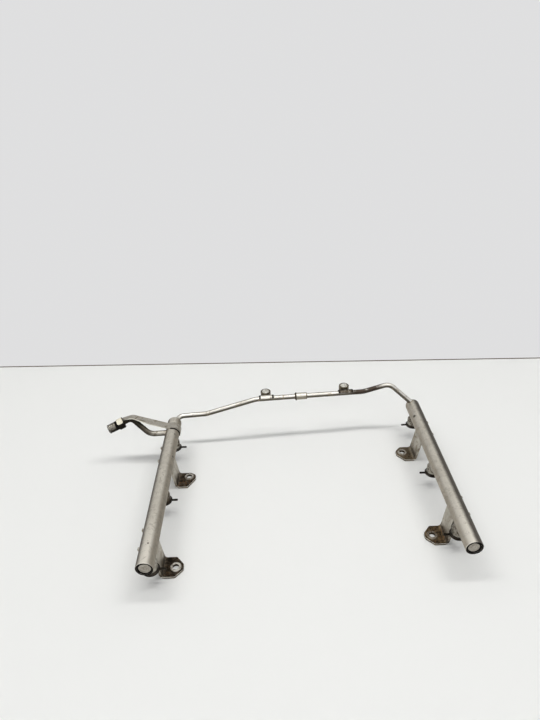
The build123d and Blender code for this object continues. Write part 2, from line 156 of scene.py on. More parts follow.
for name, size, power, place in (("ceiling_strip", (3.2, 0.26), 36.0, (0.0, 0.0, 2.4)),
                                 ("front_strip", (2.2, 0.5), 8.0, (0.1, -1.75, 1.75))):
    lamp = bpy.data.objects.new(name, bpy.data.lights.new(name, "AREA"))
    bpy.context.collection.objects.link(lamp)
    lamp.data.shape, lamp.data.size, lamp.data.size_y, lamp.data.energy = "RECTANGLE", *size, power
    lamp.location = place
    lamp.rotation_euler = (lit_point - lamp.location).to_track_quat("-Z", "Y").to_euler()
room = bpy.data.worlds.new("room")
bpy.context.scene.world = room
room.use_nodes = True
air = room.node_tree.nodes["Background"]
air.inputs["Color"].default_value = (0.94, 0.955, 1.0, 1)
level = lay(room.node_tree, "MapRange", Value=only_looked_at(room.node_tree), To_Min=room_light,
            To_Max=room_seen)
room.node_tree.links.new(level.outputs["Result"], air.inputs["Strength"])

# ---------------------------------------------------------------- rail tubes
# Drawn steel tubes with a satin, pickled skin, with painted brown shade along their sides, a painted
# highlight by the open end, and burnt black round the open end where the plug is brazed in.
rail_bright, rail_dull = (0.64, 0.605, 0.525), (0.51, 0.478, 0.41)
rail_handled, rail_smoke = (0.76, 0.72, 0.63), (0.36, 0.325, 0.27)
rail_belly, rail_speck = (0.20, 0.165, 0.125), (0.06, 0.05, 0.04)
sides = ("left", "right")
rail_radius = 0.011
dome_radius = 0.006                     # rounding of the closed end
mounts = {mount["name"]: mount for mount in frame["record"]["mounts"]}
axis_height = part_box("left_rail_tube")[1].z - rail_radius
rail_axis, rail_near, rail_far = {}, {}, {}
for side in sides:
    low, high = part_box(f"{side}_rail_tube")
    rail_axis[side] = (mounts[f"{side}_injector_bore_1"]["pos_m"][0], axis_height)
    rail_near[side], rail_far[side] = low.y, high.y


def ramp(tree, value, low, high):
    """0 below low, 1 above high and smooth between them."""
    return lay(tree, "MapRange", {"interpolation_type": "SMOOTHSTEP"}, Value=value, From_Min=low,
               From_Max=high).outputs["Result"]


def times(tree, mask, other):
    """Where both masks are high. A plain number thins the mask."""
    return work(tree, "MULTIPLY", mask, other)


def rest(tree, mask):
    """Everywhere that the mask is not."""
    return work(tree, "SUBTRACT", 1.0, mask)


def over(tree, under, colour, mask):
    """The colour laid over the one under it where the mask is high."""
    node = lay(tree, "Mix", {"data_type": "RGBA"})
    tree.links.new(mask, node.inputs[0])
    for socket, value in ((node.inputs[6], under), (node.inputs[7], colour)):
        if isinstance(value, bpy.types.NodeSocket):
            tree.links.new(value, socket)
        else:
            socket.default_value = (*value, 1)
    return node.outputs[2]


def shader_group(name, takes, gives):
    """An empty group with named inputs and outputs, and the sockets inside it to wire them to."""
    group = bpy.data.node_groups.new(name, "ShaderNodeTree")
    for socket, kind, value in takes:
        made = group.interface.new_socket(socket, in_out="INPUT", socket_type="NodeSocket" + kind)
        made.default_value = value
    for socket, kind in gives:
        group.interface.new_socket(socket, in_out="OUTPUT", socket_type="NodeSocket" + kind)
    return group, group.nodes.new("NodeGroupInput").outputs, group.nodes.new("NodeGroupOutput").inputs


def use(tree, group, **given):
    """Places a group and hands back its outputs."""
    return lay(tree, "Group", {"node_tree": group}, **given).outputs


# Grain: fine pickled texture drawn out one way over slow clouds of tone.
grain, g_in, g_out = shader_group("grain", [("Place", "Vector", (0, 0, 0)), ("Stretch", "Vector", (1, 1, 1)),
                                            ("Fine", "Float", 1100.0), ("Clouds", "Float", 55.0)],
                                  [("Tone", "Float"), ("Height", "Float")])
drawn = lay(grain, "VectorMath", {"operation": "MULTIPLY"}, _0=g_in["Place"], _1=g_in["Stretch"]).outputs[0]
fine = lay(grain, "TexNoise", Vector=drawn, Scale=g_in["Fine"], Detail=4.0, Roughness=0.6).outputs["Fac"]
slow = lay(grain, "TexNoise", Vector=g_in["Place"], Scale=g_in["Clouds"], Detail=5.0, Roughness=0.62,
           Distortion=0.6).outputs["Fac"]
tone = work(grain, "ADD", times(grain, fine, 0.35), times(grain, slow, 0.65))
grain.links.new(ramp(grain, tone, 0.33, 0.67), g_out["Tone"])
grain.links.new(fine, g_out["Height"])

# Stain: ragged patches that cover the share given by Cover.
stain, s_in, s_out = shader_group("stain", [("Place", "Vector", (0, 0, 0)), ("Patches", "Float", 60.0),
                                            ("Cover", "Float", 0.4), ("Softness", "Float", 0.08)],
                                  [("Mask", "Float")])
blot = lay(stain, "TexNoise", Vector=s_in["Place"], Scale=s_in["Patches"], Detail=7.0, Roughness=0.66,
           Distortion=1.1).outputs["Fac"]
edge = work(stain, "SUBTRACT", 0.72, times(stain, s_in["Cover"], 0.44))
stain.links.new(ramp(stain, blot, work(stain, "SUBTRACT", edge, s_in["Softness"]),
                     work(stain, "ADD", edge, s_in["Softness"])), s_out["Mask"])

# Mark: one soft spot of the given half-sizes about a point, with a ragged edge.
mark, m_in, m_out = shader_group("mark", [("Place", "Vector", (0, 0, 0)), ("Centre", "Vector", (0, 0, 0)),
                                          ("Reach", "Vector", (0.01, 0.01, 0.01)), ("Ragged", "Float", 0.3)],
                                 [("Mask", "Float")])
away = lay(mark, "VectorMath", {"operation": "SUBTRACT"}, _0=m_in["Place"], _1=m_in["Centre"]).outputs[0]
away = lay(mark, "VectorMath", {"operation": "DIVIDE"}, _0=away, _1=m_in["Reach"]).outputs[0]
far = lay(mark, "VectorMath", {"operation": "LENGTH"}, _0=away).outputs["Value"]
tear = lay(mark, "TexNoise", Vector=m_in["Place"], Scale=700.0, Detail=4.0).outputs["Fac"]
far = work(mark, "ADD", far, times(mark, work(mark, "SUBTRACT", tear, 0.5), m_in["Ragged"]))
mark.links.new(rest(mark, ramp(mark, far, 0.55, 1.0)), m_out["Mask"])


class Finish:
    """One metal's material while it is being put together: colour, roughness and height."""
    bump_depth = 0.00006                # how deep the grain is at full strength
    soot_gloss = 0.05                   # for soot and painted black shade alone: bare metal ignores it
    tone_gloss = 0.14                   # how much rougher the dark of the grain is than its light

    def __init__(self, name, metal, shade, roughness, stretch=(1, 1, 1), fine=1100.0, clouds=55.0,
                 metallic=1.0):
        self.made = bpy.data.materials.new(name)
        self.made.use_nodes = True
        self.tree = self.made.node_tree
        self.place = lay(self.tree, "TexCoord").outputs["Object"]
        self.metallic = metallic
        worked = use(self.tree, grain, Place=self.place, Stretch=stretch, Fine=fine, Clouds=clouds)
        self.colour = over(self.tree, shade, metal, worked["Tone"])
        self.height = worked["Height"]
        self.rough = work(self.tree, "SUBTRACT", roughness + self.tone_gloss / 2,
                          times(self.tree, worked["Tone"], self.tone_gloss))
        self.bare = None

    def cover(self, colour, mask, roughness):
        """Lays a colour over the finish so far, with its own roughness."""
        self.colour = over(self.tree, self.colour, colour, mask)
        mixed = lay(self.tree, "Mix", {"data_type": "FLOAT"}, _0=mask, _2=self.rough, _3=roughness)
        self.rough = mixed.outputs[0]

    def sooted(self, mask, colour=(0.008, 0.007, 0.006)):
        """Covers it with flat black, dry soot in some places and painted shade in others, under which the
        metal shines no more.
        """
        left = rest(self.tree, mask)
        self.bare = left if self.bare is None else times(self.tree, self.bare, left)
        self.cover(colour, mask, roughness=0.8)

    def stained(self, colour, patches, share, softness, roughness, within=None):
        """Ragged stains: how fine they are, the share they cover and how soft their edges are."""
        blots = use(self.tree, stain, Place=self.place, Patches=patches, Cover=share, Softness=softness)
        mask = blots["Mask"]
        if within is not None:
            mask = times(self.tree, mask, within)
        self.cover(colour, mask, roughness)

    def marked(self, colour, centre, reach, ragged, roughness, strength):
        """One stain about a point."""
        mask = use(self.tree, mark, Place=self.place, Centre=centre, Reach=reach, Ragged=ragged)["Mask"]
        self.cover(colour, times(self.tree, mask, strength), roughness)

    def along(self, axis):
        """How far along X, Y or Z the surface lies."""
        return lay(self.tree, "SeparateXYZ", Vector=self.place).outputs[axis]

    def facing(self, way, low, high):
        """1 where the surface faces that way, 0 where it leans off it by more than low allows."""
        looks = lay(self.tree, "NewGeometry").outputs["Normal"]
        turned = lay(self.tree, "VectorMath", {"operation": "DOT_PRODUCT"}, _0=looks, _1=way).outputs["Value"]
        return ramp(self.tree, turned, low, high)

    def done(self, bump):
        """Wires it all into the shader, with the grain raised by that strength of bump."""
        body = self.tree.nodes["Principled BSDF"]
        body.inputs["Metallic"].default_value = self.metallic
        if self.bare is not None:
            self.tree.links.new(self.bare, body.inputs["Metallic"])
        body.inputs["Specular IOR Level"].default_value = self.soot_gloss
        self.tree.links.new(self.colour, body.inputs["Base Color"])
        self.tree.links.new(self.rough, body.inputs["Roughness"])
        relief = lay(self.tree, "Bump", Strength=bump, Distance=self.bump_depth, Height=self.height)
        self.tree.links.new(relief.outputs["Normal"], body.inputs["Normal"])
        return self.made


def give(node, material):
    """Gives a CAD node its material."""
    frame["nodes"][node].data.materials.clear()
    frame["nodes"][node].data.materials.append(material)


handled_fades, handled_ends = 0.01, 0.09        # painted highlight by the open end, measured in from it
rim_fades, rim_ends = 0.0006, 0.0013            # black of the burnt rim, measured in from it too
# Where small dark spots lie on each tube, and how far each reaches.
rail_spots = {"left": [((-0.1521, -0.1396, 0.0654), 0.0014), ((-0.1438, 0.0259, 0.0601), 0.0022),
                       ((-0.1469, 0.0758, 0.0635), 0.0014)],
              "right": [((0.2324, 0.0988, 0.0622), 0.0030), ((0.2451, 0.0921, 0.0644), 0.0014)]}
# Which way each side with painted brown shade faces, where it sets in and ends, its colour and how thick it
# is.
rail_brown = {"left": (((-1, 0, 0), 0.34, 0.82, (0.07, 0.058, 0.045), 0.9),
                       ((1, 0, 0), 0.25, 0.80, (0.21, 0.185, 0.145), 0.85)),
              "right": (((-1, 0, 0), 0.60, 1.00, (0.30, 0.265, 0.215), 0.8),
                        ((1, 0, 0), -0.20, 0.36, (0.055, 0.045, 0.035), 0.92))}
for side in sides:
    near = rail_near[side]
    skin = Finish(f"{side}_rail_skin", rail_bright, rail_dull, 0.46, stretch=(1, 0.12, 1))
    tree = skin.tree
    # painted highlight along the stretch by the open end
    handled = rest(tree, ramp(tree, skin.along("Y"), near + handled_fades, near + handled_ends))
    skin.colour = over(tree, skin.colour, rail_handled, times(tree, handled, 0.7))
    skin.stained(rail_smoke, 150.0, 0.22, softness=0.12, roughness=0.58)
    # painted brown shade down each side of the tube, with lighter streaks in it
    for way, sets_in, ends, brown, share in rail_brown[side]:
        browned = times(tree, skin.facing(way, sets_in, ends), share)
        skin.cover(brown, browned, roughness=0.6)
        lighter = [1.6 * channel + 0.03 for channel in brown]
        skin.stained(lighter, 75.0, 0.38, softness=0.16, roughness=0.55, within=browned)
    belly = skin.facing((0, 0, -1), 0.0, 0.6)
    skin.stained(rail_belly, 45.0, 0.55, softness=0.12, roughness=0.62, within=belly)
    for spot, reach in rail_spots[side]:
        skin.marked(rail_speck, spot, (reach, reach * 1.2, reach), ragged=0.25, roughness=0.5,
                    strength=0.85)
    rim = rest(tree, ramp(tree, skin.along("Y"), near + rim_fades, near + rim_ends))
    skin.sooted(times(tree, rim, skin.facing((0, -1, 0), 0.75, 0.9)))
    give(f"{side}_rail_tube", skin.done(0.16))

# ---------------------------------------------------------------- end plugs
# Drawn discs brazed a little inside the open ends: bright in the middle, with black flux
# and soot left in the corner between the disc and the tube.
plug_bright, plug_dull, plug_stain = (0.47, 0.437, 0.385), (0.33, 0.303, 0.26), (0.24, 0.215, 0.18)
flux_black, flux_pits = (0.013, 0.011, 0.009), (0.006, 0.005, 0.004)

# Where the clean middle of each disc lies, off the rail's axis, and how far it reaches.
clean_disc = {"left": (0.0004, -0.0001, 0.0077), "right": (-0.0006, 0.0001, 0.0072)}
soot_blend = 0.0005                     # width over which the soot fades on to the clean middle
for side in sides:
    x, z = rail_axis[side]
    off_x, off_z, reach = clean_disc[side]
    disc = Finish(f"{side}_plug_face", plug_bright, plug_dull, 0.5, fine=900.0, clouds=160.0)
    tree = disc.tree
    across = lay(tree, "CombineXYZ", X=work(tree, "SUBTRACT", disc.along("X"), x + off_x),
                 Z=work(tree, "SUBTRACT", disc.along("Z"), z + off_z)).outputs[0]
    out = lay(tree, "VectorMath", {"operation": "LENGTH"}, _0=across).outputs["Value"]
    disc.stained(plug_stain, 240.0, 0.35, softness=0.1, roughness=0.55)
    disc.sooted(ramp(tree, out, reach - soot_blend, reach))
    give(f"{side}_end_plug", disc.done(0.15))


def bead_maker():
    """Geometry Nodes tree that runs an uneven bead of filler along the edges it is given."""
    bead_sides, lump_seed = 10, 3.7
    tree = bpy.data.node_groups.new("braze_bead", "GeometryNodeTree")
    face = tree.interface
    face.new_socket("Run", in_out="INPUT", socket_type="NodeSocketGeometry")
    for name, value in (("Bead radius", 0.0006), ("Unevenness", 0.4), ("Lump length", 0.003)):
        face.new_socket(name, in_out="INPUT", socket_type="NodeSocketFloat").default_value = value
    face.new_socket("Filler", in_out="INPUT", socket_type="NodeSocketMaterial")
    face.new_socket("Bead", in_out="OUTPUT", socket_type="NodeSocketGeometry")
    given, out = tree.nodes.new("NodeGroupInput").outputs, tree.nodes.new("NodeGroupOutput").inputs

    def step(kind, **sockets):
        return set_out(tree, "GeometryNode" + kind, None, sockets).outputs

    where = step("InputPosition")["Position"]
    lumps = lay(tree, "TexNoise", {"noise_dimensions": "4D"}, Vector=where, W=lump_seed,
                Scale=work(tree, "DIVIDE", 1.0, given["Lump length"])).outputs["Fac"]
    swell = work(tree, "MULTIPLY_ADD", work(tree, "SUBTRACT", lumps, 0.5), given["Unevenness"], 0.5)
    width = times(tree, times(tree, swell, 2.0), given["Bead radius"])
    curve = step("MeshToCurve", Mesh=given["Run"])["Curve"]
    section = step("CurvePrimitiveCircle", Resolution=bead_sides, Radius=1.0)["Curve"]
    solid = step("CurveToMesh", Curve=curve, Profile_Curve=section, Scale=width, Fill_Caps=True)["Mesh"]
    smooth = step("SetShadeSmooth", Geometry=solid)["Geometry"]
    whole = step("RealizeInstances", Geometry=smooth)["Geometry"]
    filled = step("SetMaterial", Geometry=whole, Material=given["Filler"])["Geometry"]
    tree.links.new(filled, out["Bead"])
    return tree


braze_bead = bead_maker()


def bead(name, runs, filler, radius, unevenness, lump, closed=True):
    """One mesh of beads: each run is a row of points, joined end to end where it is closed."""
    lines = bpy.data.meshes.new(name)
    points, edges = [], []
    for run in runs:
        first = len(points)
        points += [tuple(p) for p in run]
        edges += [(first + i, first + i + 1) for i in range(len(run) - 1)]
        if closed:
            edges.append((first + len(run) - 1, first))
    lines.from_pydata(points, edges, [])
    made = bpy.data.objects.new(name, lines)
    bpy.context.collection.objects.link(made)
    maker = made.modifiers.new("bead", "NODES")
    maker.node_group = braze_bead
    values = {"Bead radius": radius, "Unevenness": unevenness, "Lump length": lump, "Filler": filler}
    for item in braze_bead.interface.items_tree:
        if item.in_out == "INPUT" and item.name in values:
            maker[item.identifier] = values[item.name]
    ready = made.evaluated_get(bpy.context.evaluated_depsgraph_get())
    solid = bpy.data.meshes.new_from_object(ready)
    made.modifiers.clear()
    made.data = solid
    solid.name = name
    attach(made, "root")


def turn(count):
    """Angles that go once round in that many equal steps."""
    return [math.tau * i / count for i in range(count)]


# The flux itself: a low, lumpy black ring that overlaps the edge of each disc.
flux_proud, flux_back = 0.0007, 0.0011  # beyond the clean middle, and in from the tube's end
# this black also makes the painted shade line along the strap's edges
soot = Finish("burnt_flux", flux_black, flux_pits, 0.7, fine=1500.0, clouds=400.0,
              metallic=0.0).done(0.3)
flux_rings = []
for side in sides:
    x, z = rail_axis[side]
    off_x, off_z, reach = clean_disc[side]
    reach += flux_proud
    flux_rings.append([(x + off_x + reach * math.cos(a), rail_near[side] + flux_back,
                        z + off_z + reach * math.sin(a)) for a in turn(72)])
bead("plug_flux", flux_rings, soot, radius=0.0008, unevenness=0.9, lump=0.004)

# ---------------------------------------------------------------- injector cups
# Deep-drawn cups: grey bodies streaked with old fuel, with painted shade on the rims and tabs and in
# the seat inside. A thin bead brazes each neck to the underside of the rail.
cup_bright, cup_dull = (0.50, 0.475, 0.415), (0.36, 0.335, 0.28)
fuel_streak, fuel_varnish = (0.085, 0.066, 0.046), (0.016, 0.013, 0.010)
fuel_spots = (0.06, 0.046, 0.032)
braze_light, braze_dark = (0.34, 0.29, 0.21), (0.17, 0.13, 0.085)
cup_count = 3
neck_radius = 0.0048
rim_sets_in, rim_full = 0.0262, 0.0284  # below the rail's axis, where the painted shade of the rim begins and is full
bead_proud = 0.0001                     # how far the bead's middle lies off the rail's skin
cup_oil = {"left": (0.25, 0.85, 0.55), "right": (0.55, 0.45, 0.45)}     # share of each body that is streaked


def cup_finish(side, k):
    cup = Finish(f"{side}_cup_{k + 1}", cup_bright, cup_dull, 0.42, fine=900.0, clouds=120.0)
    tree = cup.tree
    below = work(tree, "SUBTRACT", axis_height, cup.along("Z"))
    cup.stained(fuel_streak, 110.0, cup_oil[side][k], softness=0.12, roughness=0.45)
    rim = ramp(tree, below, rim_sets_in, rim_full)
    # painted shade over the rim, the tab and the seat inside
    cup.cover(fuel_varnish, times(tree, rim, 0.95), roughness=0.42)
    cup.stained(fuel_spots, 240.0, 0.30, softness=0.08, roughness=0.4)
    return cup.done(0.14)


def neck_run(side, k):
    """Where a round neck of that radius meets the underside of the rail."""
    x, y, _ = mounts[f"{side}_injector_bore_{k + 1}"]["pos_m"]
    run = []
    for a in turn(48):
        dx = neck_radius * math.cos(a)
        under = math.sqrt(rail_radius ** 2 - dx ** 2) + bead_proud
        run.append((x + dx, y + neck_radius * math.sin(a), axis_height - under))
    return run


necks = []
for side in sides:
    for k in range(cup_count):
        give(f"{side}_injector_cup_{k + 1}", cup_finish(side, k))
        necks.append(neck_run(side, k))
braze = Finish("old_braze", braze_light, braze_dark, 0.5, fine=1300.0, clouds=300.0).done(0.3)
bead("cup_braze", necks, braze, radius=0.00055, unevenness=0.45, lump=0.002)

# ---------------------------------------------------------------- foot brackets
# Pressed steel brackets. The feet have sat in oil and rust under the manifold bolts: brown on top,
# wiped bright in a ring under each washer, with a painted highlight along the sheet's upper edge and painted
# shade in the bolt holes.
sheet_bright, sheet_dull, sheet_smoke = (0.56, 0.53, 0.465), (0.43, 0.40, 0.34), (0.24, 0.195, 0.14)
black_grease, rust_brown = (0.026, 0.020, 0.014), (0.20, 0.105, 0.045)
edge_brown, edge_grease, edge_bare = (0.17, 0.135, 0.092), (0.035, 0.027, 0.019), (0.86, 0.83, 0.75)
washer_bright, washer_dirt, hole_dirt = (0.66, 0.63, 0.56), (0.13, 0.095, 0.06), (0.06, 0.047, 0.033)
foot_low, foot_high = 0.0045, 0.016             # heights between which the foot's dirt fades
bare_from, bare_to = (0.0021, 0.0025), (0.0032, 0.0034)     # where the painted highlight on the upper edge sets in and ends
washer_inner, washer_outer = 0.0039, 0.0063     # radii of the wiped ring,
washer_grows = 0.0011                           # and how much wider a clean one is
hole_reach = 0.0047                             # the painted shade in the bolt hole, from its axis
foot_holes = {}
for side in sides:
    pattern = mounts[f"{side}_feet_bolts"]
    x, y, _ = pattern["pos_m"]
    half = pattern["dims"]["spacing_y_mm"] / 2000
    foot_holes[side, "near"], foot_holes[side, "far"] = (x, y - half), (x, y + half)

# Ring mark: what lies between two radii about an upright axis, with a ragged edge.
ring_mark, r_in, r_out = shader_group("ring_mark", [("Place", "Vector", (0, 0, 0)),
                                                    ("Centre", "Vector", (0, 0, 0)),
                                                    ("Inner", "Float", 0.004), ("Outer", "Float", 0.007)],
                                      [("Mask", "Float")])
ring_soft, ring_ragged = 0.0004, 0.0016         # width of its fading, and how far its edge wanders
away = lay(ring_mark, "VectorMath", {"operation": "SUBTRACT"}, _0=r_in["Place"], _1=r_in["Centre"]).outputs[0]
away = lay(ring_mark, "VectorMath", {"operation": "MULTIPLY"}, _0=away, _1=(1, 1, 0)).outputs[0]
far = lay(ring_mark, "VectorMath", {"operation": "LENGTH"}, _0=away).outputs["Value"]
tear = lay(ring_mark, "TexNoise", Vector=r_in["Place"], Scale=420.0, Detail=4.0).outputs["Fac"]
far = work(ring_mark, "ADD", far, times(ring_mark, work(ring_mark, "SUBTRACT", tear, 0.5), ring_ragged))
past_inner, past_outer = (ramp(ring_mark, far, work(ring_mark, "SUBTRACT", radius, ring_soft), radius)
                          for radius in (r_in["Inner"], r_in["Outer"]))
ring_mark.links.new(times(ring_mark, rest(ring_mark, past_outer), past_inner), r_out["Mask"])

# The brown that soaks each foot's upper face, how much of it the black grease covers, and how
# clean the washer has left its ring.
foot_brown = {("left", "near"): ((0.075, 0.055, 0.035), 0.62, 1.0),
              ("left", "far"): ((0.100, 0.074, 0.048), 0.50, 0.85),
              ("right", "near"): ((0.22, 0.150, 0.075), 0.50, 0.5),
              ("right", "far"): ((0.165, 0.13, 0.082), 0.30, 0.8)}
for (side, end), hole in foot_holes.items():
    sheet = Finish(f"{side}_{end}_bracket_sheet", sheet_bright, sheet_dull, 0.46, fine=1000.0,
                   clouds=70.0)
    tree = sheet.tree
    height = sheet.along("Z")
    low_down = rest(tree, ramp(tree, height, foot_low, foot_high))
    facing_up = sheet.facing((0, 0, 1), 0.35, 0.8)
    on_foot = times(tree, low_down, facing_up)
    on_edge = times(tree, low_down, rest(tree, facing_up))
    brown, grease, wiped = foot_brown[side, end]
    sheet.stained(sheet_smoke, 60.0, 0.34, softness=0.14, roughness=0.52)
    sheet.cover(brown, times(tree, on_foot, 0.93), roughness=0.40)
    sheet.stained(black_grease, 130.0, grease, softness=0.12, roughness=0.34, within=on_foot)
    sheet.stained(rust_brown, 170.0, 0.26, softness=0.08, roughness=0.7, within=on_foot)
    sheet.cover(edge_brown, times(tree, on_edge, 0.85), roughness=0.5)
    sheet.stained(edge_grease, 150.0, 0.45, softness=0.10, roughness=0.4, within=on_edge)
    # painted highlight along the upper edge of the sheet
    worn = times(tree, ramp(tree, height, *bare_from), rest(tree, ramp(tree, height, *bare_to)))
    sheet.stained(edge_bare, 110.0, 0.72, softness=0.14, roughness=0.35,
                  within=times(tree, worn, on_edge))
    washer = use(tree, ring_mark, Place=sheet.place, Centre=(*hole, 0), Inner=washer_inner,
                 Outer=washer_outer + washer_grows * wiped)["Mask"]
    sheet.cover(washer_bright, times(tree, times(tree, washer, facing_up), wiped), roughness=0.5)
    sheet.stained(washer_dirt, 250.0, 0.80 - 0.45 * wiped, softness=0.08, roughness=0.45, within=washer)
    # painted shade on the walls of the bolt hole
    in_hole = use(tree, ring_mark, Place=sheet.place, Centre=(*hole, 0), Inner=0.0, Outer=hole_reach)["Mask"]
    sheet.cover(hole_dirt, times(tree, in_hole, rest(tree, facing_up)), roughness=0.5)
    give(f"{side}_{end}_foot_bracket", sheet.done(0.25))


def steps(count):
    """Shares from 0 to 1 in that many equal steps."""
    return [i / count for i in range(count + 1)]


# Braze lines along both faces of each leg where its top meets the rail. The near leg is cut away
# round the first cup, and its lines stop there too.
leg_from_hole = {"near": 0.003, "far": -0.004}      # middle of each leg, along the rail from its bolt hole
leg_half = 0.0125
leg_faces = (0.00056, 0.00354)                      # inward of the rail's axis
leg_bead_proud = 0.0002
cup_gap = 0.0068                                    # half of the stretch left free at the cup
leg_lines = []
for (side, end), (_, hole_y) in foot_holes.items():
    x, z = rail_axis[side]
    inward = 1 if side == "left" else -1
    cup_y = mounts[f"{side}_injector_bore_1"]["pos_m"][1]
    start = hole_y + leg_from_hole[end] - leg_half
    for off in leg_faces:
        under = math.sqrt(rail_radius ** 2 - off ** 2) + leg_bead_proud
        row = [(x + inward * off, start + 2 * leg_half * share, z - under) for share in steps(24)]
        if end == "far":
            leg_lines.append(row)
            continue
        before = [p for p in row if p[1] < cup_y - cup_gap]
        after = [p for p in row if p[1] > cup_y + cup_gap]
        leg_lines += [piece for piece in (before, after) if len(piece) > 3]
bead("leg_braze", leg_lines, braze, radius=0.0006, unevenness=0.6, lump=0.003,
     closed=False)

# ---------------------------------------------------------------- crossover pipes
# Thin plated steel tube bent cold, smoother and brighter than the rails. Its underside and its
# back carry painted brown shade, and the bend beside the right-hand eyelet is brown with baked oil.
pipe_bright, pipe_dull, pipe_smoke = (0.68, 0.66, 0.60), (0.53, 0.505, 0.445), (0.30, 0.25, 0.18)
belly_oil, back_oil = (0.085, 0.072, 0.052), (0.09, 0.076, 0.055)
hump_oil, oil_spots = (0.055, 0.042, 0.032), (0.07, 0.055, 0.04)
pipe_bead_radius = 0.0041
hump_starts, hump_ends = (0.132, 0.145), (0.178, 0.197)     # across the engine
plated = Finish("plated_pipe", pipe_bright, pipe_dull, 0.38, stretch=(0.15, 1, 1),
                fine=1300.0, clouds=60.0)
tree = plated.tree
belly, back = plated.facing((0, 0, -1), -0.62, -0.25), plated.facing((0, 0.93, 0.35), 0.35, 0.60)
# painted shade on the underside and the back of the pipe
plated.cover(belly_oil, times(tree, belly, 0.93), roughness=0.45)
plated.cover(back_oil, times(tree, back, 0.9), roughness=0.45)
plated.stained(pipe_smoke, 75.0, 0.22, softness=0.08, roughness=0.45)
across = plated.along("X")
hump = times(tree, ramp(tree, across, *hump_starts), rest(tree, ramp(tree, across, *hump_ends)))
plated.stained(hump_oil, 95.0, 0.86, softness=0.14, roughness=0.42, within=hump)
plated.stained(oil_spots, 420.0, 0.16, softness=0.03, roughness=0.55)
pipe_finish = plated.done(0.1)
for side in sides:
    give(f"crossover_pipe_{side}", pipe_finish)


def from_end(side, across, beyond, up):
    """A point given from where the axis of that rail leaves its closed end."""
    x, z = rail_axis[side]
    return Vector((x + across, rail_far[side] + beyond, z + up))


def square_to(way):
    """Two directions square to that one and to each other."""
    up = way.orthogonal().normalized()
    return up, way.cross(up)


def off_skin(side, point):
    """How far a point lies outside the skin of a rail tube with its domed end."""
    x, z = rail_axis[side]
    spread, beyond = math.hypot(point.x - x, point.z - z), point.y - rail_far[side]
    if beyond > -dome_radius and spread > rail_radius - dome_radius:
        return math.hypot(spread - (rail_radius - dome_radius), beyond + dome_radius) - dome_radius
    return max(spread - rail_radius, beyond)


def leaves_rail(side, start, towards, radius):
    """The closed line where a pipe, run from a point inside a rail towards another, comes out."""
    longest = 0.03                      # further than any pipe runs inside a rail
    way = (towards - start).normalized()
    up, beside = square_to(way)
    run = []
    for a in turn(56):
        root = start + (up * math.cos(a) + beside * math.sin(a)) * radius
        inside, out = 0.0, longest
        for _ in range(30):
            half = (inside + out) / 2
            inside, out = (half, out) if off_skin(side, root + way * half) < 0 else (inside, half)
        run.append(root + way * inside)
    return run


left_root, left_elbow = from_end("left", 0.0014, -0.0080, 0.0015), from_end("left", 0.0070, 0.0088, 0.0032)
right_root = from_end("right", -0.0004, -0.0083, 0.0050)
right_hump = from_end("right", -0.03825, 0.0070, 0.0360)
bead("crossover_braze", [leaves_rail("left", left_root, left_elbow, pipe_bead_radius),
                         leaves_rail("right", right_root, right_hump, pipe_bead_radius)],
     braze, radius=0.00055, unevenness=0.5, lump=0.002)

# ---------------------------------------------------------------- union sleeve
# Turned sleeve brazed over the joint of the two pipes: bright along its top, with a dark ring
# at each end and painted brown shade on its back and underside.
sleeve_bright, sleeve_dull, sleeve_smoke = (0.70, 0.675, 0.60), (0.55, 0.525, 0.45), (0.30, 0.25, 0.17)
sleeve_belly, sleeve_back = (0.22, 0.195, 0.15), (0.12, 0.10, 0.072)
ring_black, ring_brown = (0.035, 0.028, 0.020), (0.10, 0.08, 0.055)
level_start = from_end("left", 0.13375, 0.0157, 0.0260)     # where the pipe's level run begins,
union = from_end("left", 0.20745, 0.0205, 0.0256)           # where its two lengths meet
level_end = from_end("left", 0.31175, 0.0274, 0.0250)       # and where it ends
pipe_way = {"left": (union - level_start).normalized(), "right": (level_end - union).normalized()}
left_ring = (union.x - 0.0076, union.x - 0.0069)            # across the engine, where each ring
right_ring = (union.x + 0.0085, union.x + 0.0093)           # fades or sets in
sleeve_bead_radius, sleeve_bead_at = 0.0042, 0.0099         # of the bead's line, and from the union
turned = Finish("turned_sleeve", sleeve_bright, sleeve_dull, 0.40, stretch=(6, 1, 1),
                fine=500.0, clouds=120.0)
tree = turned.tree
belly, back = turned.facing((0, 0, -1), -0.66, -0.30), turned.facing((0, 0.93, 0.35), 0.40, 0.65)
# painted shade on the sleeve's underside and back
turned.cover(sleeve_belly, times(tree, belly, 0.8), roughness=0.45)
turned.cover(sleeve_back, times(tree, back, 0.85), roughness=0.45)
turned.stained(sleeve_smoke, 160.0, 0.25, softness=0.08, roughness=0.45)
across = turned.along("X")
turned.cover(ring_black, rest(tree, ramp(tree, across, *left_ring)), roughness=0.5)
turned.cover(ring_brown, ramp(tree, across, *right_ring), roughness=0.5)
give("crossover_union_sleeve", turned.done(0.12))

up, beside = square_to(pipe_way["right"])
sleeve_rings = []
for reach in (-sleeve_bead_at, sleeve_bead_at):
    middle = union + pipe_way["right"] * reach
    sleeve_rings.append([middle + (up * math.cos(a) + beside * math.sin(a)) * sleeve_bead_radius
                         for a in turn(40)])
bead("sleeve_braze", sleeve_rings, braze, radius=0.0005, unevenness=0.4, lump=0.002)

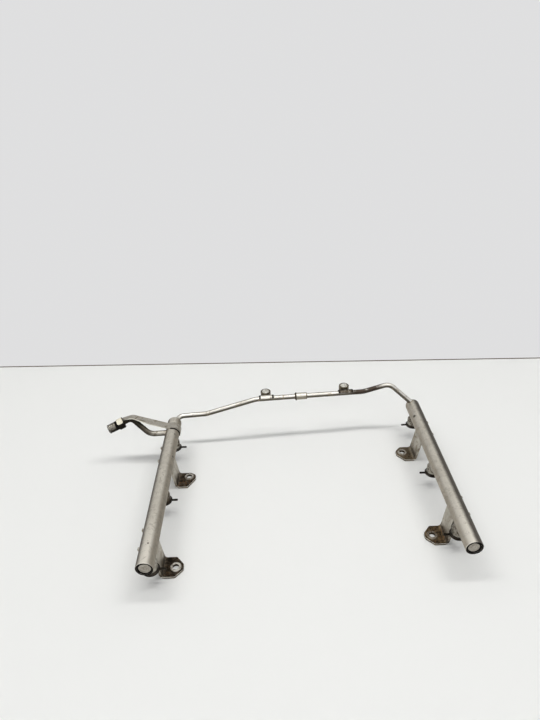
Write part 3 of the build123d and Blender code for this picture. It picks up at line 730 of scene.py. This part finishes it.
# ---------------------------------------------------------------- pipe clips and eyelets
# Sheet saddles crimped on the pipe, each with a short turned bush welded to its back. Oil has
# darkened the bushes' sides; their tops and bores carry a painted highlight.
clip_bright, clip_dull, clip_spots = (0.68, 0.655, 0.585), (0.52, 0.495, 0.425), (0.12, 0.09, 0.065)
clip_oil, clip_belly, lip_black = (0.07, 0.055, 0.038), (0.03, 0.024, 0.017), (0.022, 0.018, 0.013)
bush_brown, bush_dark, bush_oil = (0.20, 0.17, 0.12), (0.11, 0.09, 0.062), (0.045, 0.035, 0.024)
rim_bright, rim_stain = (0.95, 0.94, 0.90), (0.46, 0.41, 0.33)
clip_x = {"left": rail_axis["left"][0] + 0.15075, "right": rail_axis["left"][0] + 0.28195}
lip_from, lip_to = (0.0084, 0.0098), (0.0135, 0.014)        # the black ends, from the clip's middle
oily_clip = (0.11, 0.12)                # across the engine: the clip beyond this is the oily one
eyelet_radius = 0.00825
rim_reach = 0.0060                      # the rim and bore with the painted highlight, from the bore's axis
clip_sheet = Finish("clip_sheet", clip_bright, clip_dull, 0.40, fine=1000.0, clouds=110.0)
tree = clip_sheet.tree
across = clip_sheet.along("X")
clip_sheet.stained(clip_spots, 150.0, 0.30, softness=0.08, roughness=0.5)
clip_sheet.stained(clip_oil, 190.0, 0.80, softness=0.12, roughness=0.45,
                   within=ramp(tree, across, *oily_clip))
# painted shade on the clips' undersides
clip_sheet.cover(clip_belly, clip_sheet.facing((0, 0, -1), -0.40, -0.05), roughness=0.45)
for side in sides:
    from_clip = work(tree, "ABSOLUTE", work(tree, "SUBTRACT", across, clip_x[side]))
    lips = times(tree, ramp(tree, from_clip, *lip_from), rest(tree, ramp(tree, from_clip, *lip_to)))
    clip_sheet.cover(lip_black, lips, roughness=0.5)
clip_finish = clip_sheet.done(0.2)

bush = Finish("turned_bush", bush_brown, bush_dark, 0.42, stretch=(1, 1, 4), fine=600.0, clouds=110.0)
bush.stained(bush_oil, 130.0, 0.45, softness=0.1, roughness=0.5)
for side in sides:
    low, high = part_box(f"{side}_eyelet")
    bore = ((low.x + high.x) / 2, (low.y + high.y) / 2, 0)
    worn = use(bush.tree, ring_mark, Place=bush.place, Centre=bore, Inner=0.0, Outer=rim_reach)["Mask"]
    # painted highlight on the bush's top and bore
    bush.cover(rim_bright, worn, roughness=0.35)
    bush.stained(rim_stain, 230.0, 0.26, softness=0.10, roughness=0.45, within=worn)
bush_finish = bush.done(0.15)
for side in sides:
    give(f"{side}_pipe_clip", clip_finish)
    give(f"{side}_eyelet", bush_finish)

weld_sunk, weld_half = 0.0007, 0.0048   # into the bush's side, and off its middle along the pipe
weld_low, weld_long = 0.0004, 0.006     # above the bush's foot, and how far up it runs
welds = []
for side in sides:
    low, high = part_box(f"{side}_eyelet")
    way = Vector((pipe_way[side].x, pipe_way[side].y, 0)).normalized()
    to_pipe = Vector((way.y, -way.x, 0))
    for end in (-1, 1):
        foot = (low + high) / 2 + to_pipe * (eyelet_radius - weld_sunk) + way * end * weld_half
        welds.append([(foot.x, foot.y, low.z + weld_low + weld_long * share) for share in steps(12)])
bead("eyelet_weld", welds, braze, radius=0.00085, unevenness=0.5, lump=0.002,
     closed=False)

# ---------------------------------------------------------------- inlet tube
# Steel tube brazed into the side of the left rail and bent up to the hexagon. It is dull, with
# painted shade underneath, and black towards the hexagon with oil and with painted shade under the strap.
tube_bright, tube_dull = (0.52, 0.495, 0.435), (0.38, 0.355, 0.30)
tube_stain, tube_belly = (0.11, 0.082, 0.055), (0.05, 0.040, 0.030)
inlet_bead_radius = 0.00435
oil_steps = ((-0.174, -0.190, (0.058, 0.048, 0.034)), (-0.190, -0.208, (0.022, 0.018, 0.013)))
feed = Finish("inlet_tube_skin", tube_bright, tube_dull, 0.42, stretch=(0.2, 1, 1),
              fine=1100.0, clouds=70.0)
tree = feed.tree
feed.stained(tube_stain, 90.0, 0.42, softness=0.12, roughness=0.5)
# painted shade on the underside
feed.cover(tube_belly, times(tree, feed.facing((0, 0, -1), -0.30, 0.20), 0.85), roughness=0.45)
# darker in steps towards the hexagon: oil, and painted shade where the strap lies over the tube
for clean_x, oiled_x, oil in oil_steps:
    oily = rest(tree, ramp(tree, feed.along("X"), oiled_x, clean_x))
    feed.cover(oil, times(tree, oily, 0.92), roughness=0.42)
give("inlet_tube", feed.done(0.15))
inlet_root = from_end("left", -0.0060, -0.0350, 0.0035)
inlet_elbow = from_end("left", -0.03425, -0.0370, 0.0040)
bead("inlet_braze", [leaves_rail("left", inlet_root, inlet_elbow, inlet_bead_radius)], braze, radius=0.00065,
     unevenness=0.5, lump=0.002)

# ---------------------------------------------------------------- inlet hexagon and nose
# Zinc-plated hexagon, bright cream on top and painted black shade on its other faces, in front of
# a dark oiled nose with painted shade underneath and by the hexagon, and painted glints at its mouth.
zinc_cream, zinc_shade, zinc_stain = (0.70, 0.67, 0.56), (0.60, 0.565, 0.45), (0.50, 0.42, 0.26)
hexagon_black = (0.016, 0.013, 0.010)
nose_steel, nose_oil = (0.30, 0.28, 0.235), (0.12, 0.108, 0.085)
nose_belly, nose_spots = (0.018, 0.015, 0.011), (0.025, 0.020, 0.015)
mouth_black, mouth_steel = (0.03, 0.025, 0.018), (0.62, 0.60, 0.55)
inlet_top = from_end("left", -0.06325, -0.0217, 0.0246)
inlet_tip = from_end("left", -0.09805, -0.0341, 0.0134)
nose_way = (inlet_tip - inlet_top).normalized()
soot_back = (0.0118, 0.0128)            # behind the tip, where the painted shade by the hexagon sets in
mouth_dark, mouth_worn = (0.0007, 0.0014), (0.0016, 0.0024)     # how far back each fades and ends
zinc = Finish("zinc_hexagon", zinc_cream, zinc_shade, 0.62, fine=1200.0, clouds=180.0)
up_face = zinc.facing((0, 0, 1), 0.55, 0.85)
# painted black shade on every face but the top
zinc.sooted(rest(zinc.tree, up_face), hexagon_black)
zinc.stained(zinc_stain, 300.0, 0.22, softness=0.08, roughness=0.5, within=up_face)
give("inlet_hexagon", zinc.done(0.15))

oiled = Finish("oiled_nose", nose_steel, nose_oil, 0.30, fine=1000.0, clouds=120.0)
tree = oiled.tree
to_tip = lay(tree, "VectorMath", {"operation": "SUBTRACT"}, _0=tuple(inlet_tip), _1=oiled.place).outputs[0]
from_tip = lay(tree, "VectorMath", {"operation": "DOT_PRODUCT"}, _0=to_tip,
               _1=tuple(nose_way)).outputs["Value"]
# painted shade on the underside
oiled.cover(nose_belly, oiled.facing((0, 0, -1), -0.45, 0.15), roughness=0.35)
oiled.stained(nose_spots, 170.0, 0.38, softness=0.1, roughness=0.3)
# painted black shade beside the hexagon
oiled.sooted(ramp(tree, from_tip, *soot_back))
oiled.cover(mouth_black, rest(tree, ramp(tree, from_tip, *mouth_dark)), roughness=0.4)
# painted glints round the mouth
oiled.stained(mouth_steel, 260.0, 0.40, softness=0.05, roughness=0.3,
              within=rest(tree, ramp(tree, from_tip, *mouth_worn)))
give("inlet_nose", oiled.done(0.15))

# ---------------------------------------------------------------- inlet support strap
# Sheet strap folded over the rail and along the top of the inlet tube, with a painted highlight on
# its nearer face and a dark bead of painted shade along both its edges on the rail.
strap_bright, strap_dull = (0.49, 0.462, 0.405), (0.36, 0.336, 0.286)
strap_stain, strap_bare = (0.19, 0.162, 0.122), (0.84, 0.81, 0.72)
strip = Finish("strap_sheet", strap_bright, strap_dull, 0.5, stretch=(0.2, 1, 1), fine=900.0,
               clouds=80.0)
strip.stained(strap_stain, 80.0, 0.32, softness=0.12, roughness=0.55)
# painted highlight on the strap's nearer face
strip.stained(strap_bare, 60.0, 0.75, softness=0.14, roughness=0.4,
              within=strip.facing((0, -1, 0), 0.6, 0.85))
give("inlet_support_strap", strip.done(0.15))

filler_radius = rail_radius + 0.0004
filler_off = (0.0005, 0.0003)           # its middle, off the strap's nearer and further edge
filler_starts, filler_sweep = -16, 117  # degrees round the rail from its inward side
low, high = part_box("inlet_support_strap")
x, z = rail_axis["left"]
angles = [math.radians(filler_starts + filler_sweep * share) for share in steps(40)]
strap_lines = [[(x + filler_radius * math.cos(a), y, z + filler_radius * math.sin(a)) for a in angles]
               for y in (low.y - filler_off[0], high.y + filler_off[1])]
# dark beads of painted shade along the strap's edges
bead("strap_braze", strap_lines, soot, radius=0.00065, unevenness=0.7, lump=0.004,
     closed=False)

# ---------------------------------------------------------------- bounds of the scene's objects
low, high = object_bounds()
